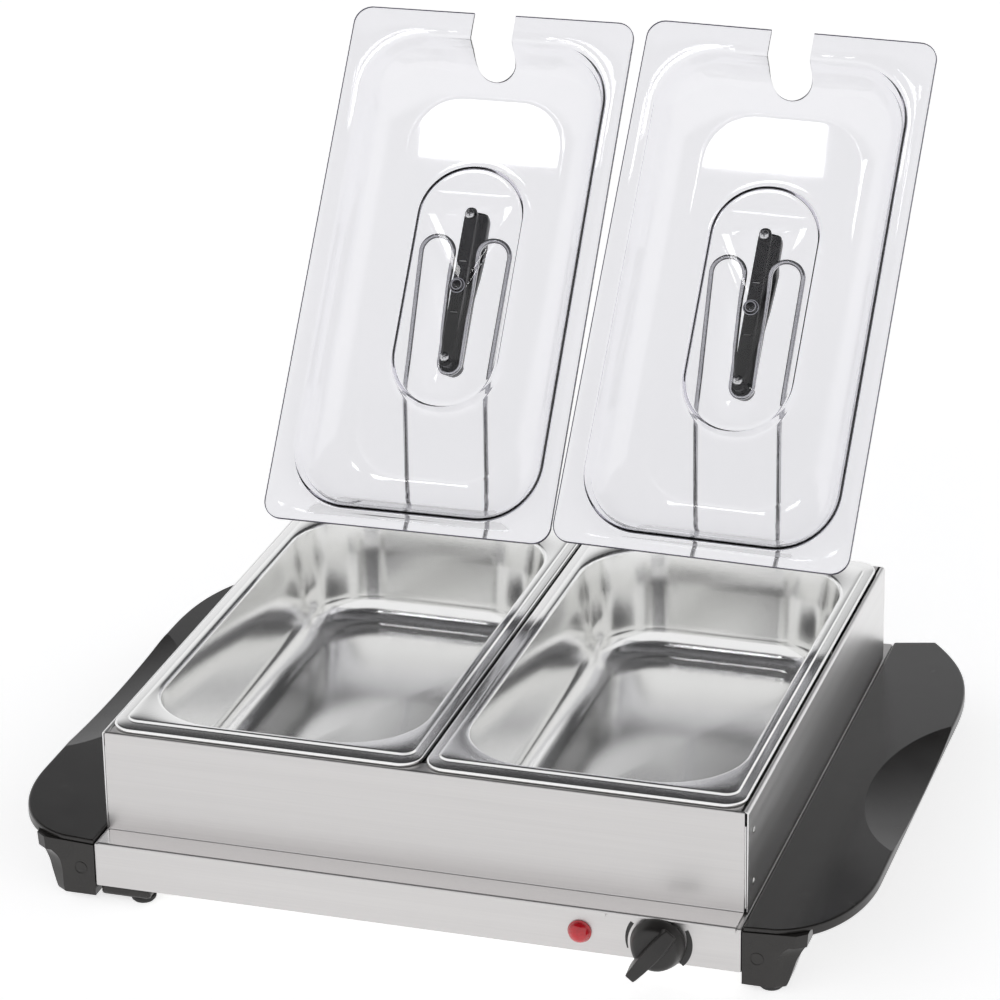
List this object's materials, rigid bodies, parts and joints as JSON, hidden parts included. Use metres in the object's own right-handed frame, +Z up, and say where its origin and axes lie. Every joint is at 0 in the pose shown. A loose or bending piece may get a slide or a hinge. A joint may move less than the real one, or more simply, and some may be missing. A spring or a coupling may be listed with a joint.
{
  "type": "twin buffet server",
  "caption": "Countertop heated base with a steel pan frame, side-by-side food pans, and clear slotted lids hung open on wire stands behind them.",
  "frame": {"origin": "centre of the footprint's bounding box, on the table", "axes": "+Z up, -Y towards the controls at the front, +X to the user's right"},
  "size_m": [0.4804, 0.4866, 0.381],
  "materials": {
    "brushed_steel": "brushed",
    "satin_steel": "satin",
    "chromed_wire": "polished",
    "zinc_plate": "zinc plated",
    "black_plastic": "satin moulded",
    "black_rubber": "matte",
    "clear_plastic": "clear moulded",
    "red_lens": "translucent gloss",
    "white_ceramic": "matte",
    "mineral_wool": "fibrous",
    "wire_sleeve": "braided"
  },
  "bodies": {
    "base": {"base_shell": "brushed_steel", "heat_spreader": "satin_steel", "bottom_plate": "zinc_plate", "heating_element": "zinc_plate", "element_strap_1": "zinc_plate", "element_strap_2": "zinc_plate", "bottom_screw_1": "zinc_plate", "bottom_screw_2": "zinc_plate", "bottom_screw_3": "zinc_plate", "bottom_screw_4": "zinc_plate", "wing_handle_left": "black_plastic", "wing_handle_right": "black_plastic", "foot_pad": "black_plastic", "leg_block_front_left": "black_plastic", "leg_block_front_right": "black_plastic", "leg_block_rear_left": "black_plastic", "leg_block_rear_right": "black_plastic", "inlet_bushing": "black_rubber", "foot_front_left": "black_rubber", "foot_front_right": "black_rubber", "foot_rear_left": "black_rubber", "foot_rear_right": "black_rubber", "lamp_lens": "red_lens", "thermostat": "white_ceramic", "lamp_holder": "white_ceramic", "terminal_block": "white_ceramic", "insulation_pad": "mineral_wool", "lead_thermostat": "wire_sleeve", "lead_lamp": "wire_sleeve"},
    "knob": {"control_knob": "black_plastic", "knob_shaft": "zinc_plate"},
    "frame": {"frame_front": "brushed_steel", "frame_rear": "brushed_steel", "frame_side_left": "brushed_steel", "frame_side_right": "brushed_steel", "divider_rail": "satin_steel", "stand_socket_left": "satin_steel", "stand_socket_right": "satin_steel", "corner_angle_front_left": "satin_steel", "corner_angle_front_right": "satin_steel", "corner_angle_rear_left": "satin_steel", "corner_angle_rear_right": "satin_steel", "rivet_left_1": "zinc_plate", "rivet_left_2": "zinc_plate", "rivet_right_1": "zinc_plate", "rivet_right_2": "zinc_plate"},
    "left_pan": {"pan_left": "satin_steel"},
    "left_stand": {"wire_stand_left": "chromed_wire"},
    "left_lid": {"lid_left": "clear_plastic", "lid_handle_left": "black_plastic", "handle_screw_left_1": "zinc_plate", "handle_screw_left_2": "zinc_plate"},
    "right_pan": {"pan_right": "satin_steel"},
    "right_stand": {"wire_stand_right": "chromed_wire"},
    "right_lid": {"lid_right": "clear_plastic", "lid_handle_right": "black_plastic", "handle_screw_right_1": "zinc_plate", "handle_screw_right_2": "zinc_plate"}
  },
  "joints": [
    {"name": "knob_turn", "type": "hinge", "parent": "base", "child": "knob", "pos_m": [0.137, -0.2235, 0.0225], "axis": [0, 1, 0], "range_deg": [0, 285]},
    {"name": "frame_lift", "type": "slide", "parent": "base", "child": "frame", "axis": [0, 0, 1], "range_m": [0, 0.06]},
    {"name": "left_pan_lift", "type": "slide", "parent": "frame", "child": "left_pan", "axis": [0, 0, 1], "range_m": [0, 0.02]},
    {"name": "left_stand_lift", "type": "slide", "parent": "frame", "child": "left_stand", "axis": [0, 0, 1], "range_m": [0, 0.045]},
    {"name": "left_lid_lift", "type": "slide", "parent": "left_stand", "child": "left_lid", "axis": [0, 0.5299, 0.848], "range_m": [0, 0.1]},
    {"name": "right_pan_lift", "type": "slide", "parent": "frame", "child": "right_pan", "axis": [0, 0, 1], "range_m": [0, 0.02]},
    {"name": "right_stand_lift", "type": "slide", "parent": "frame", "child": "right_stand", "axis": [0, 0, 1], "range_m": [0, 0.045]},
    {"name": "right_lid_lift", "type": "slide", "parent": "right_stand", "child": "right_lid", "axis": [0, 0.5299, 0.848], "range_m": [0, 0.1]}
  ]
}
